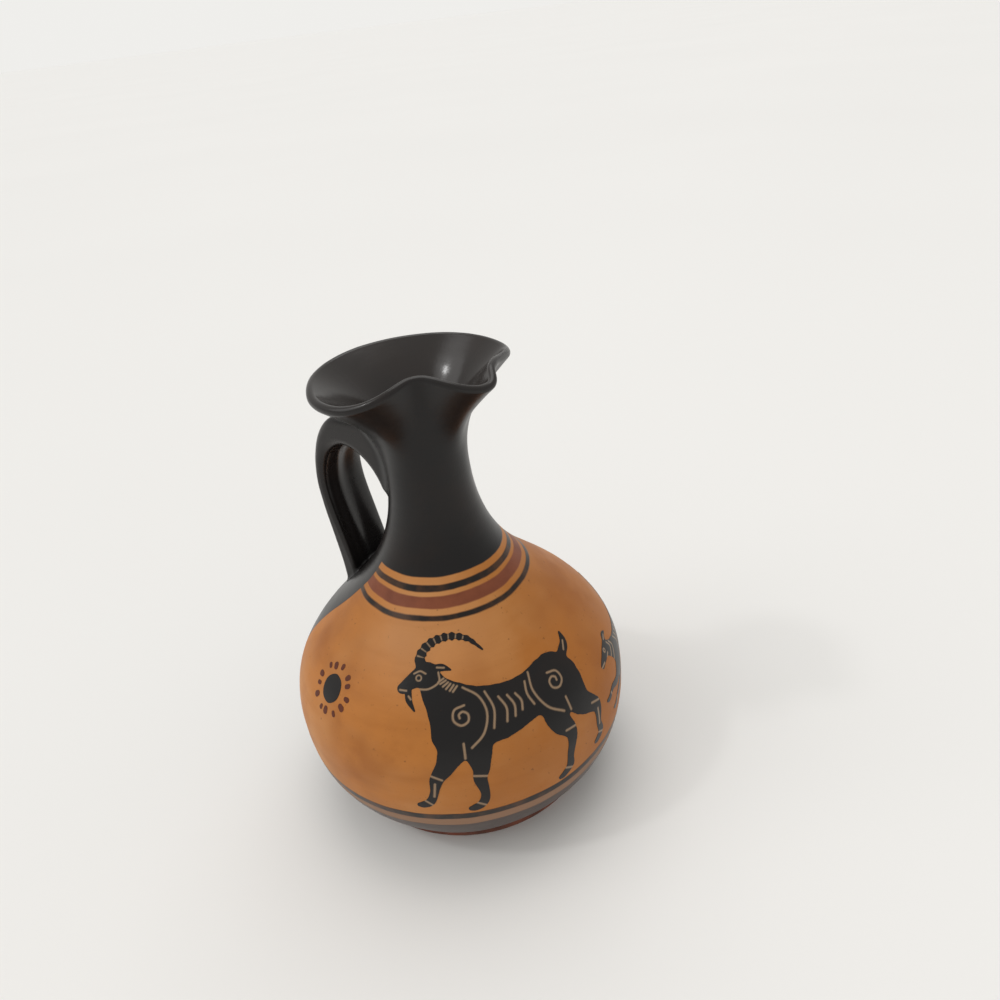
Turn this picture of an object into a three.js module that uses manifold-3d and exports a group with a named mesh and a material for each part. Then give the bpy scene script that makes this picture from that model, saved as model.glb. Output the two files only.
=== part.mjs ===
// Small clay jug: globular belly, narrow neck, pinched pouring mouth and one ribbed strap handle.
// Millimetres, +Z up. The origin is the centre of the flat underside of the foot.
// The handle stands on the -X side and the spout on the +X side.

import * as THREE from 'three';
import { mergeVertices } from 'three/addons/utils/BufferGeometryUtils.js';
import Module from 'manifold-3d';

// Foot
const FOOT_RADIUS = 28.2;
const FOOT_HEIGHT = 1.5;
const FOOT_EDGE = 0.4;

// Belly, thrown as a lower bowl and an upper dome that meet at the widest ring
const BELLY_RADIUS = 37.2;
const BOWL_BASE_RADIUS = 27.9;
const BOWL_HEIGHT = 22.7;
const BOWL_FULLNESS = 2.5;
const BOWL_FLOOR = 3.5;
const BELLY_WALL = 3.0;
const DOME_HEIGHT = 34.8;
const DOME_SWELL = 17.2;
const DOME_RUN = 15.7;

// Neck
const NECK_BASE_RADIUS = 13.5;
const NECK_BASE_WALL = 3.9;
const NECK_BASE_LEAN = 30;
const NECK_HEIGHT = 20.2;
const NECK_SWEEP = 7.7;
const NECK_WAIST_SWEEP = 6.8;
const NECK_WAIST_RADIUS = 8.6;
const NECK_WALL = 2.4;

// Mouth: a round flare, measured at the middle of its wall, with two pinches beside the spout.
// The wall bulges a little next to the deep pinch and at the spout, and the lip rises where it is pressed in.
const MOUTH_HEIGHT = 19.0;
const RIM_RADIUS = 18.9;
const FLARE_RISE = 10.0;
const FLARE_LIP_RUN = 7.0;
const FLARE_LIP_LEAN = 40;
const PINCHES = [
  { angle: -46, halfWidth: 28, depth: 7.9 },
  { angle: 22, halfWidth: 20, depth: 3.2 },
  { angle: -105, halfWidth: 22, depth: -0.7 },
  { angle: -8, halfWidth: 14, depth: -0.7 },
];
const PINCH_SHARPNESS = 2.5;
const PINCH_LIFT = 0.3;

// Handle: a strap with a rib along its middle and one along each edge, thick where it leaves the neck
const HANDLE_WIDTH = 12.4;
const HANDLE_THICKNESS = 2.75;
const HANDLE_REACH = 27.2;
const HANDLE_DROP = 9.6;
const HANDLE_ARCH_DEPTH = 6.9;
const HANDLE_ARCH_RADIUS = 16.2;
const HANDLE_ROOT_HEIGHT = 18.3;
const HANDLE_WIDEST_DROP = 18.6;
const HANDLE_LANDING_RISE = 23.0;
const HANDLE_LANDING_THICKNESS = 3.2;
const HANDLE_LANDING_LEAN = -2;
const HANDLE_LANDING_SPREAD = 1.1;
const HANDLE_SQUARENESS = 5;
const RIB_COUNT = 3;
const RIB_DEPTH = 0.4;

// Lengths of the bends along the handle's outer and inner side
const OUTER_TOP_BEND = 2.0;
const OUTER_SHOULDER_BEND = 6.0;
const OUTER_SIDE_BEND = 10.5;
const INNER_ROOT_BEND = 5.5;
const INNER_ARCH_BEND = 5.0;
const INNER_SHOULDER_BEND = 4.4;
const INNER_SIDE_BEND = 7.0;
const LANDING_BEND = 7.0;

// Pieces that are cut to their neighbour's curved surface keep this layer of slip between them
const SLIP_GAP = 0.3;

// Fineness of the facets and of the numerical steps
const ROUND_STEPS = 48;
const MOUTH_STEPS = 64;
const CURVE_STEPS = 9;
const LIP_STEPS = 4;
const RAIL_STEPS = 9;
const FACE_STEPS = 12;
const HALVINGS = 40;
const SLOPE_STEP = 1e-4;
const MERGE_DISTANCE = 1e-4;

// Heights of the joints
const bowlBaseZ = FOOT_HEIGHT;
const widestZ = bowlBaseZ + BOWL_HEIGHT;
const neckBaseZ = widestZ + DOME_HEIGHT;
const waistZ = neckBaseZ + NECK_HEIGHT;
const rimZ = waistZ + MOUTH_HEIGHT;

const wasm = await Module();
wasm.setup();

const clay = new THREE.MeshStandardMaterial({ color: 0xb5713a, roughness: 0.6, metalness: 0 });
const bareClay = new THREE.MeshStandardMaterial({ color: 0x8a4a36, roughness: 0.85, metalness: 0 });
const blackGloss = new THREE.MeshStandardMaterial({ color: 0x262423, roughness: 0.35, metalness: 0 });

const point = (r, z) => new THREE.Vector2(r, z);
const radians = THREE.MathUtils.degToRad;

// A smooth curve from one point to the next, leaving and arriving along the two directions
function sweep(start, startDirection, startLength, end, endDirection, endLength) {
  const first = start.clone().addScaledVector(startDirection, startLength);
  const second = end.clone().addScaledVector(endDirection, -endLength);
  return new THREE.CubicBezierCurve(start, first, second, end);
}

const upward = point(0, 1);
const outward = point(1, 0);
const neckBaseDirection = point(-Math.sin(radians(NECK_BASE_LEAN)), Math.cos(radians(NECK_BASE_LEAN)));

// Outlines from the axis outwards, as radius and height
const bowlOuter = (t) => {
  const below = 1 - t;
  const drawnIn = (BELLY_RADIUS - BOWL_BASE_RADIUS) * below ** BOWL_FULLNESS;
  return point(BELLY_RADIUS - drawnIn, bowlBaseZ + BOWL_HEIGHT * t);
};
const domeCurve = (wall, neckWall) => sweep(
  point(BELLY_RADIUS - wall, widestZ), upward, DOME_SWELL,
  point(NECK_BASE_RADIUS - neckWall, neckBaseZ), neckBaseDirection, DOME_RUN,
);
const neckCurve = (baseWall, wall) => sweep(
  point(NECK_BASE_RADIUS - baseWall, neckBaseZ), neckBaseDirection, NECK_SWEEP,
  point(NECK_WAIST_RADIUS - wall, waistZ), upward, NECK_WAIST_SWEEP,
);

const curveShares = Array.from({ length: CURVE_STEPS + 1 }, (_, i) => i / CURVE_STEPS);
const bowlFloorZ = bowlBaseZ + BOWL_FLOOR;

function bowlInner(t) {
  const outside = bowlOuter(t);
  return point(outside.x - BELLY_WALL, THREE.MathUtils.lerp(bowlFloorZ, widestZ, t));
}

// Solid of revolution from a closed outline that climbs outside and comes down inside
function turned(outline, steps) {
  return new THREE.LatheGeometry(outline, steps).rotateX(Math.PI / 2);
}

function footGeometry() {
  const outline = [
    point(0, 0),
    point(FOOT_RADIUS - FOOT_EDGE, 0),
    point(FOOT_RADIUS, FOOT_EDGE),
    point(FOOT_RADIUS, FOOT_HEIGHT - FOOT_EDGE),
    point(FOOT_RADIUS - FOOT_EDGE, FOOT_HEIGHT),
    point(0, FOOT_HEIGHT),
  ];
  return turned(outline, ROUND_STEPS);
}

function bowlGeometry() {
  const outside = curveShares.map(bowlOuter);
  const inside = curveShares.map(bowlInner).reverse();
  const outline = [point(0, bowlBaseZ), ...outside, ...inside, point(0, bowlFloorZ)];
  return turned(outline, ROUND_STEPS);
}

// Wall between an outer and an inner curve, with flat rings where it meets its neighbours
function turnedWall(outer, inner) {
  const outside = outer.getPoints(CURVE_STEPS);
  const inside = inner.getPoints(CURVE_STEPS).reverse();
  return turned([...outside, ...inside, outside[0]], ROUND_STEPS);
}

const domeGeometry = () => turnedWall(domeCurve(0, 0), domeCurve(BELLY_WALL, NECK_BASE_WALL));
const neckGeometry = () => turnedWall(neckCurve(0, 0), neckCurve(NECK_BASE_WALL, NECK_WALL));

// Triangles over rings of equal length, closed into a loop of rings or capped at both ends
function skinned(rings, looped) {
  const around = rings[0].length;
  const positions = rings.flat().flatMap((p) => [p.x, p.y, p.z]);
  const indices = [];
  const pairs = looped ? rings.length : rings.length - 1;
  for (let i = 0; i < pairs; i += 1) {
    for (let j = 0; j < around; j += 1) {
      const a = i * around + j;
      const b = i * around + (j + 1) % around;
      const c = ((i + 1) % rings.length) * around + (j + 1) % around;
      const d = ((i + 1) % rings.length) * around + j;
      indices.push(a, b, c, a, c, d);
    }
  }
  if (!looped) {
    const middle = (ring) => ring.reduce((sum, p) => sum.add(p), new THREE.Vector3()).divideScalar(around);
    const last = (rings.length - 1) * around;
    const firstMiddle = positions.length / 3;
    for (const p of [middle(rings[0]), middle(rings.at(-1))]) {
      positions.push(p.x, p.y, p.z);
    }
    for (let j = 0; j < around; j += 1) {
      const next = (j + 1) % around;
      indices.push(firstMiddle, next, j, firstMiddle + 1, last + j, last + next);
    }
  }
  const geometry = new THREE.BufferGeometry();
  geometry.setAttribute('position', new THREE.Float32BufferAttribute(positions, 3));
  geometry.setIndex(indices);
  return geometry;
}

// Middle of the mouth's wall
const waistMiddle = NECK_WAIST_RADIUS - NECK_WALL / 2;
const flareDirection = point(Math.cos(radians(FLARE_LIP_LEAN)), Math.sin(radians(FLARE_LIP_LEAN)));
const flareCurve = sweep(
  point(waistMiddle, waistZ), upward, FLARE_RISE,
  point(RIM_RADIUS, rimZ), flareDirection, FLARE_LIP_RUN,
);

// How far the pinches press the rim in at an angle round the mouth
function pressedIn(angle) {
  return PINCHES.reduce((sum, pinch) => {
    const away = angle - radians(pinch.angle);
    const turn = Math.abs(Math.atan2(Math.sin(away), Math.cos(away)));
    return sum + pinch.depth * Math.exp(-((turn / radians(pinch.halfWidth)) ** PINCH_SHARPNESS));
  }, 0);
}

// Point of the mouth's middle surface, with its outward normal and its upward tangent
function mouthFrame(angle, t) {
  const pressed = pressedIn(angle);
  const pressedSlope = (pressedIn(angle + SLOPE_STEP) - pressedIn(angle - SLOPE_STEP)) / (2 * SLOPE_STEP);
  const at = flareCurve.getPoint(t);
  const along = t === 0 ? upward : flareCurve.getTangent(t);
  const flareReach = RIM_RADIUS - waistMiddle;
  const flareShare = (at.x - waistMiddle) / flareReach;
  const rise = (at.y - waistZ) / MOUTH_HEIGHT;
  const lift = PINCH_LIFT * rise ** 2;
  const liftGain = (2 * PINCH_LIFT * rise) / MOUTH_HEIGHT;
  const radius = at.x - pressed * flareShare;
  const ray = new THREE.Vector3(Math.cos(angle), Math.sin(angle), 0);
  const side = new THREE.Vector3(-Math.sin(angle), Math.cos(angle), 0);
  const round = ray.clone().multiplyScalar(-pressedSlope * flareShare).addScaledVector(side, radius);
  round.setZ(lift * pressedSlope);
  const climb = ray.clone().multiplyScalar(along.x * (1 - pressed / flareReach));
  climb.setZ(along.y * (1 + liftGain * pressed)).normalize();
  const normal = round.cross(climb).normalize();
  return { middle: ray.multiplyScalar(radius).setZ(at.y + lift * pressed), normal, climb };
}

const mouthAngles = Array.from({ length: MOUTH_STEPS }, (_, j) => (2 * Math.PI * j) / MOUTH_STEPS);

function mouthRing(t, offset, reach = 0) {
  return mouthAngles.map((angle) => {
    const { middle, normal, climb } = mouthFrame(angle, t);
    return middle.addScaledVector(normal, offset).addScaledVector(climb, reach);
  });
}

function mouthGeometry() {
  const half = NECK_WALL / 2;
  const outside = curveShares.map((t) => mouthRing(t, half));
  const lip = Array.from({ length: LIP_STEPS - 1 }, (_, i) => {
    const turn = (Math.PI * (i + 1)) / LIP_STEPS;
    return mouthRing(1, half * Math.cos(turn), half * Math.sin(turn));
  });
  const inside = curveShares.map((t) => mouthRing(t, -half)).reverse();
  return skinned([...outside, ...lip, ...inside], true);
}

// Closed geometry as a solid for cutting
function solidFrom(geometry) {
  geometry.deleteAttribute('normal');
  geometry.deleteAttribute('uv');
  const merged = mergeVertices(geometry, MERGE_DISTANCE);
  const index = Array.from(merged.index.array);
  const corners = [];
  for (let i = 0; i < index.length; i += 3) {
    const [a, b, c] = index.slice(i, i + 3);
    if (a !== b && b !== c && c !== a) {
      corners.push(a, b, c);
    }
  }
  const mesh = new wasm.Mesh({
    numProp: 3,
    vertProperties: new Float32Array(merged.attributes.position.array),
    triVerts: new Uint32Array(corners),
  });
  return new wasm.Manifold(mesh);
}

function geometryFrom(solid) {
  const mesh = solid.getMesh();
  const geometry = new THREE.BufferGeometry();
  geometry.setAttribute('position', new THREE.Float32BufferAttribute(mesh.vertProperties, 3));
  geometry.setIndex(Array.from(mesh.triVerts));
  return geometry;
}

// Radius of the dome's outside at a height
function domeRadius(z) {
  const curve = domeCurve(0, 0);
  let low = 0;
  let high = 1;
  for (let i = 0; i < HALVINGS; i += 1) {
    const t = (low + high) / 2;
    if (curve.getPoint(t).y < z) {
      low = t;
    } else {
      high = t;
    }
  }
  return curve.getPoint(low).x;
}

// The strap lies between two rails in one plane with the jug's axis: root, arch and fall to the belly
function handleRails() {
  const topZ = rimZ - HANDLE_DROP;
  const sideZ = topZ - HANDLE_WIDEST_DROP;
  const landingZ = widestZ + HANDLE_LANDING_RISE;
  const landingRadius = domeRadius(landingZ);
  const endZ = landingZ - BELLY_WALL / 2;
  const falling = point(0, -1);
  const landingAngle = radians(HANDLE_LANDING_LEAN);
  const landingDirection = point(-Math.sin(landingAngle), -Math.cos(landingAngle));

  const outerRoot = point(waistMiddle, topZ);
  const outerArch = point(HANDLE_ARCH_RADIUS, topZ);
  const outerSide = point(HANDLE_REACH, sideZ);
  const outerEnd = point(landingRadius + HANDLE_LANDING_SPREAD, endZ);
  const outer = [
    sweep(outerRoot, outward, OUTER_TOP_BEND, outerArch, outward, OUTER_TOP_BEND),
    sweep(outerArch, outward, OUTER_SHOULDER_BEND, outerSide, falling, OUTER_SIDE_BEND),
    sweep(outerSide, falling, LANDING_BEND, outerEnd, landingDirection, LANDING_BEND),
  ];

  const innerRoot = point(waistMiddle, topZ - HANDLE_ROOT_HEIGHT);
  const innerArch = point(HANDLE_ARCH_RADIUS, topZ - HANDLE_ARCH_DEPTH);
  const innerSide = point(HANDLE_REACH - HANDLE_THICKNESS, sideZ);
  const innerEnd = point(landingRadius - HANDLE_LANDING_THICKNESS, endZ);
  const inner = [
    sweep(innerRoot, upward, INNER_ROOT_BEND, innerArch, outward, INNER_ARCH_BEND),
    sweep(innerArch, outward, INNER_SHOULDER_BEND, innerSide, falling, INNER_SIDE_BEND),
    sweep(innerSide, falling, LANDING_BEND, innerEnd, landingDirection, LANDING_BEND),
  ];
  return { outer, inner };
}

function railPoints(curves) {
  return curves.flatMap((curve, i) => curve.getPoints(RAIL_STEPS).slice(i === 0 ? 0 : 1));
}

// Share of half the strap's thickness at a place across its width, from -1 to 1
const roundedFace = (across) => (1 - Math.abs(across) ** HANDLE_SQUARENESS) ** (1 / HANDLE_SQUARENESS);
const ribHollow = (across) => (RIB_DEPTH * (1 - Math.cos((RIB_COUNT - 1) * Math.PI * across))) / 2;

function strapRing(outerPoint, innerPoint) {
  const centre = outerPoint.clone().add(innerPoint).multiplyScalar(0.5);
  const half = outerPoint.distanceTo(innerPoint) / 2;
  const direction = outerPoint.clone().sub(innerPoint).normalize();
  const ring = [];
  for (let k = 0; k < 2 * FACE_STEPS; k += 1) {
    const turn = (Math.PI * k) / FACE_STEPS;
    const across = Math.cos(turn);
    const face = Math.sign(Math.sin(turn)) * Math.max(half * roundedFace(across) - ribHollow(across), 0);
    const at = centre.clone().addScaledVector(direction, k % FACE_STEPS === 0 ? 0 : face);
    ring.push(new THREE.Vector3(-at.x, (-across * HANDLE_WIDTH) / 2, at.y));
  }
  return ring;
}

// What the handle is cut by: the outside of the body and of the mouth, with the slip gap on them
function bodyCutter() {
  const dome = domeCurve(-SLIP_GAP, -SLIP_GAP).getPoints(CURVE_STEPS);
  const neck = neckCurve(-SLIP_GAP, -SLIP_GAP).getPoints(CURVE_STEPS).slice(1);
  const outline = [point(0, widestZ), ...dome, ...neck, point(0, waistZ)];
  return solidFrom(turned(outline, ROUND_STEPS));
}

function mouthCutter() {
  const offset = NECK_WALL / 2 + SLIP_GAP;
  const below = mouthRing(0, offset).map((p) => p.setZ(waistZ - SLIP_GAP));
  return solidFrom(skinned([below, ...curveShares.map((t) => mouthRing(t, offset))], false));
}

function handleGeometry() {
  const rails = handleRails();
  const outer = railPoints(rails.outer);
  const inner = railPoints(rails.inner);
  const strap = solidFrom(skinned(outer.map((p, i) => strapRing(p, inner[i])), false));
  return geometryFrom(strap.subtract(bodyCutter()).subtract(mouthCutter()));
}

function piece(name, geometry, material) {
  const mesh = new THREE.Mesh(geometry, material);
  mesh.name = name;
  return mesh;
}

const jug = new THREE.Group();
jug.add(
  piece('foot_disc', footGeometry(), bareClay),
  piece('belly_bowl', bowlGeometry(), clay),
  piece('shoulder_dome', domeGeometry(), clay),
  piece('neck', neckGeometry(), blackGloss),
  piece('pinched_mouth', mouthGeometry(), blackGloss),
  piece('strap_handle', handleGeometry(), blackGloss),
);

export default jug;
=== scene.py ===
# Painted clay jug: clay body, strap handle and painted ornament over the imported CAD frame

from math import atan2, cos, exp, hypot, pi, radians, sin, tau

import bpy
import numpy as np
from mathutils import Matrix, Vector, noise


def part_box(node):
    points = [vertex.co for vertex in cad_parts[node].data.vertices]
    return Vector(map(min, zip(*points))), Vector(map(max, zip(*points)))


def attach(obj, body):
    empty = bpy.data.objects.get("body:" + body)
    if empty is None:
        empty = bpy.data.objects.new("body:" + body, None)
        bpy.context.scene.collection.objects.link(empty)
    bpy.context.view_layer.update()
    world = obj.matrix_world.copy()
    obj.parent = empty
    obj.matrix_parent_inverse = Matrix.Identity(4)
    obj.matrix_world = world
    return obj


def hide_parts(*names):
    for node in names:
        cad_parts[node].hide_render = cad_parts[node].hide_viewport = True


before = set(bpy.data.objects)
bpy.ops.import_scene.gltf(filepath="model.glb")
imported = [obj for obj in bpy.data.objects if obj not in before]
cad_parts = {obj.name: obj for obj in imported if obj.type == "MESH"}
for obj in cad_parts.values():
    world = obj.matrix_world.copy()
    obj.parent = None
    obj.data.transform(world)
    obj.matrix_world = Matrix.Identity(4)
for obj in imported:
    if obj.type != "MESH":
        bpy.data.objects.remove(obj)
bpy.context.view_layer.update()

# Shapes are worked out in millimetres in the frame's axes, and meshes are written in metres
MM = 0.001


def cad_corner(node, axis):
    """Highest coordinate of a CAD node along an axis, in millimetres."""
    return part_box(node)[1][axis] / MM


# Driving sizes of the CAD frame
FOOT_RADIUS = cad_corner("foot_disc", 0)
FOOT_TOP = cad_corner("foot_disc", 2)
BELLY_RADIUS = cad_corner("belly_bowl", 0)
WIDEST_Z = cad_corner("belly_bowl", 2)
NECK_BASE_Z = cad_corner("shoulder_dome", 2)
WAIST_Z = cad_corner("neck", 2)

# Foot
FOOT_EDGE = 0.45
FOOT_EDGE_STEPS = 6
FOOT_RING_SHARES = (0.25, 0.5, 0.75, 0.9)

# Belly and neck
BOWL_BASE_RADIUS = 27.9
BOWL_FULLNESS = 2.5
BOWL_FLOOR = 3.5
BELLY_WALL = 3.0
DOME_SWELL = 17.2
DOME_RUN = 15.7
NECK_BASE_RADIUS = 13.5
NECK_BASE_WALL = 3.9
NECK_BASE_LEAN = radians(30)
NECK_SWEEP = 7.7
NECK_WAIST_SWEEP = 6.8
NECK_WAIST_RADIUS = 8.6
NECK_WALL = 2.4

# Mouth
MOUTH_HEIGHT = 19.0
RIM_Z = WAIST_Z + MOUTH_HEIGHT
RIM_RADIUS = 18.9
FLARE_RISE = 10.0
FLARE_LIP_RUN = 7.0
FLARE_LIP_LEAN = radians(40)
LIP_THINNING = 0.3
LIP_HEIGHT = 5.0
PINCH_SHARPNESS = 2.5
PINCH_LIFT = 0.3

# Pinches of the rim: angle and half width in degrees, and depth. A negative depth is a swell.
PINCHES = [(-46, 28, 7.9), (22, 20, 3.2), (-105, 22, -0.7), (-8, 14, -0.7)]

# Handle
HANDLE_WIDTH = 12.4
HANDLE_THICKNESS = 2.75
HANDLE_REACH = 27.2
HANDLE_DROP = 9.6
HANDLE_ARCH_DEPTH = 6.9
HANDLE_ARCH_RADIUS = 16.2
HANDLE_ROOT_HEIGHT = 18.3
HANDLE_WIDEST_DROP = 18.6
HANDLE_LANDING_RISE = 23.0
HANDLE_LANDING_THICKNESS = 3.2
HANDLE_LANDING_LEAN = radians(-2)
HANDLE_LANDING_SPREAD = 1.1
RIB_COUNT = 3
RIB_DEPTH = 0.4
RIB_OFFSET = 0.45
OUTER_TOP_BEND = 2.0
OUTER_SHOULDER_BEND = 6.0
OUTER_SIDE_BEND = 10.5
INNER_ROOT_BEND = 5.5
INNER_ARCH_BEND = 5.0
INNER_SHOULDER_BEND = 4.4
INNER_SIDE_BEND = 7.0
LANDING_BEND = 7.0
STRAP_GROWTH = 0.15
STRAP_ROUNDING = 0.9
ARCH_ROUNDING = 2.2
ARCH_GROWTH = 0.4
EDGE_THINNING = 0.8
EDGE_SHARPNESS = 4
ROOT_DEPTH = 4.0
ROOT_TOP_Z = RIM_Z - HANDLE_DROP
ROOT_TIP_Z = ROOT_TOP_Z - HANDLE_ROOT_HEIGHT
ROOT_TIP_SHARE = 0.5
SIDE_Z = ROOT_TOP_Z - HANDLE_WIDEST_DROP
ROOT_FILLET = 2.4
FLANK_FILLET = 1.3
LANDING_FILLET = 1.1
FEATHER = 0.02
SKIN_OVERLAP = 0.25
# Share of the mouth's gloss and painted light that the handle takes
HANDLE_GLOSS_AND_PAINTED_LIGHT = 0.3

# Where the handle's shape, shine and painted light change, from one height, radius, share or distance to
# the next
ROOT_TIP_HEIGHTS = (ROOT_TIP_Z - 1, ROOT_TIP_Z + 4)
ROOT_TIP_RADII = (NECK_WAIST_RADIUS, NECK_WAIST_RADIUS + 5)
ARCH_HEIGHTS = (SIDE_Z, ROOT_TOP_Z - 3)
FLANK_HEIGHTS = (56.0, 66.0)
ROOT_HEIGHTS = (ROOT_TOP_Z - 6, ROOT_TOP_Z)
THINNED_SHARES = (0.2, 0.5)
GLOSS_AND_PAINTED_LIGHT_DISTANCES = (0.3, 3.0)

# Hand-worked surface: how broad and how high its swells and dimples are
SWELL_SIZE = 15
SWELL_HEIGHT = 0.13
DIMPLE_SIZE = 4
DIMPLE_HEIGHT = 0.03
DIMPLE_SHIFT = Vector((7, 3, 1))

# Painted rings, as heights, with how much of the paler grey clay shows below the base line, how much
# painted light the slip takes inside the mouth and on the handle, and how far their edges wander and blur
NECK_EDGE = 59.3
UPPER_LINE = (56.85, 58.0)
RED_BAND = (54.15, 56.1)
LOWER_LINE = (52.3, 53.15)
BASE_LINE = (15.7, 17.6)
BASE_ZONE_TOP = 13.1
PALE_GREY_SHARE = 0.8
PAINTED_LIGHT_SHARE = 0.6
WAVER = 0.3
RIPPLE = 0.07
RING_BLUR = 0.16
PAINT_THICKNESS = 0.03

# Black field behind the handle: half its width at the neck's edge, and its gain for each mm lower down
FIELD_HALF_WIDTH = 13.9
FIELD_SPREAD = 0.235
FIELD_BLUR = 0.15

# Fineness of the meshes
AROUND = 256
ROW_LENGTH = 0.55
MOUTH_ROW_LENGTH = ROW_LENGTH * 0.8
LIP_ROWS = 14
RAIL_ROWS = 36
CURVE_SAMPLES = 1001

# Grid of distances in the handle's plane, and box of the handle's mesh
PLANE_STEP = 0.1
PLANE_LOW = (2.0, 38.0)
PLANE_HIGH = (40.0, 98.0)
NET_STEP = 0.3
NET_LOW = (-29.0, -10.5, 42.0)
NET_HIGH = (0.5, 10.6, 96.0)
NET_PULLS = 3


def bezier(start, start_direction, start_length, end, end_direction, end_length):
    """Cubic curve from one point to the next, leaving and arriving along two directions."""
    start, end = np.array(start, float), np.array(end, float)
    first = start + np.array(start_direction) * start_length
    second = end - np.array(end_direction) * end_length

    def at(t):
        t = np.asarray(t, float)[..., None]
        s = 1 - t
        return s ** 3 * start + 3 * s * s * t * first + 3 * s * t * t * second + t ** 3 * end

    return at


UP = (0.0, 1.0)
OUT = (1.0, 0.0)
DOWN = (0.0, -1.0)
neck_lean = (-sin(NECK_BASE_LEAN), cos(NECK_BASE_LEAN))


def eased(value, low, high):
    """Smooth rise from 0 to 1 as the value goes from low to high."""
    share = np.clip((value - low) / (high - low), 0, 1)
    return share * share * (3 - 2 * share)


def toward(start, end, share):
    return start + (end - start) * share


def joined(a, b, blend):
    """Union of two distances with a rounded inner corner."""
    share = np.clip(0.5 + (b - a) / (2 * blend), 0, 1)
    return toward(b, a, share) - blend * share * (1 - share)


def bowl_curve(inset=0.0, floor=0.0):
    """Lower half of the belly, from its base to the widest ring."""
    def at(t):
        t = np.asarray(t, float)
        drawn_in = (BELLY_RADIUS - BOWL_BASE_RADIUS) * (1 - t) ** BOWL_FULLNESS
        low = FOOT_TOP + floor
        return np.stack([BELLY_RADIUS - inset - drawn_in, low + (WIDEST_Z - low) * t], -1)
    return at


def dome_curve(wall=0.0, neck_wall=0.0):
    return bezier((BELLY_RADIUS - wall, WIDEST_Z), UP, DOME_SWELL,
                  (NECK_BASE_RADIUS - neck_wall, NECK_BASE_Z), neck_lean, DOME_RUN)


def neck_curve(base_wall=0.0, wall=0.0):
    return bezier((NECK_BASE_RADIUS - base_wall, NECK_BASE_Z), neck_lean, NECK_SWEEP,
                  (NECK_WAIST_RADIUS - wall, WAIST_Z), UP, NECK_WAIST_SWEEP)


def outline_samples(curve, row_length=ROW_LENGTH):
    """Evenly spaced points of an outline, with the normal on the right of its direction."""
    fine = curve(np.linspace(0, 1, CURVE_SAMPLES))
    steps = np.hypot(*np.diff(fine, axis=0).T)
    length = np.concatenate([[0], np.cumsum(steps)])
    count = max(3, round(length[-1] / row_length)) + 1
    wanted = np.linspace(0, length[-1], count)
    tangent = np.gradient(fine, axis=0)
    tangent /= np.linalg.norm(tangent, axis=1, keepdims=True)
    x, y, along_x, along_y = [np.interp(wanted, length, v) for v in (*fine.T, *tangent.T)]
    return np.stack([x, y], -1), np.stack([along_y, -along_x], -1)


def unevenness(place):
    """How far the hand-worked surface stands proud at a place, in millimetres."""
    swell = noise.noise(place / SWELL_SIZE)
    dimple = noise.noise(place / DIMPLE_SIZE + DIMPLE_SHIFT)
    return SWELL_HEIGHT * swell + DIMPLE_HEIGHT * dimple


def ring(radius, z, normal_out, normal_up, uneven=True):
    """Points and normals of one turned ring."""
    points, normals = [], []
    for k in range(AROUND):
        turn = tau * k / AROUND
        ray = Vector((cos(turn), sin(turn), 0))
        normal = Vector((ray.x * normal_out, ray.y * normal_out, normal_up))
        point = Vector((ray.x * radius, ray.y * radius, z))
        if uneven:
            point += normal * unevenness(point)
        points.append(point)
        normals.append(normal)
    return points, normals


def turned_rings(curve, outward=True):
    """Rings along an outline, upward on the outside of a wall and downward on its inside."""
    points, normals = outline_samples(curve)
    side = 1 if outward else -1
    rings = [ring(r, z, nr * side, nz * side) for (r, z), (nr, nz) in zip(points, normals)]
    return rings if outward else rings[::-1]


def finish_piece(name, vertices, faces, material, normals=None):
    """Mesh object in metres that rides on the jug's body."""
    mesh = bpy.data.meshes.new(name)
    mesh.from_pydata([v * MM for v in vertices], [], faces)
    mesh.validate()
    mesh.shade_smooth()
    if normals:
        mesh.normals_split_custom_set_from_vertices([n.normalized() for n in normals])
    piece = bpy.data.objects.new(name, mesh)
    bpy.context.scene.collection.objects.link(piece)
    mesh.materials.append(material)
    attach(piece, "root")
    return piece


def mark(piece, name, values):
    """Values at the vertices of a piece, for its material."""
    marked = piece.data.attributes.new(name, "FLOAT", "POINT")
    marked.data.foreach_set("value", values)


def pole(z, up):
    """Point on the axis that closes a skin, with its normal up or down."""
    return Vector((0, 0, z)), Vector((0, 0, up))


def skin(name, rings, material, looped=False, poles=()):
    """Closed skin over rings of equal length. Poles close the first and the last ring."""
    vertices = [p for points, _ in rings for p in points]
    normals = [n for _, ring_normals in rings for n in ring_normals]
    around = len(rings[0][0])
    faces = []
    for i in range(len(rings) if looped else len(rings) - 1):
        low = i * around
        high = (i + 1) % len(rings) * around
        for k in range(around):
            after = (k + 1) % around
            faces.append((low + k, low + after, high + after, high + k))
    if poles:
        first = len(vertices)
        vertices += [place for place, _ in poles]
        normals += [normal for _, normal in poles]
        last = (len(rings) - 1) * around
        for k in range(around):
            after = (k + 1) % around
            faces.append((first, after, k))
            faces.append((first + 1, last + k, last + after))
    return finish_piece(name, vertices, faces, material, normals)


# Colours, as they show on the object
def srgb(red, green, blue):
    def linear(value):
        value /= 255
        return value / 12.92 if value <= 0.04045 else ((value + 0.055) / 1.055) ** 2.4
    return (linear(red), linear(green), linear(blue), 1.0)


# Colour of the painted light on the belly's most brightly lit part
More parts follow.
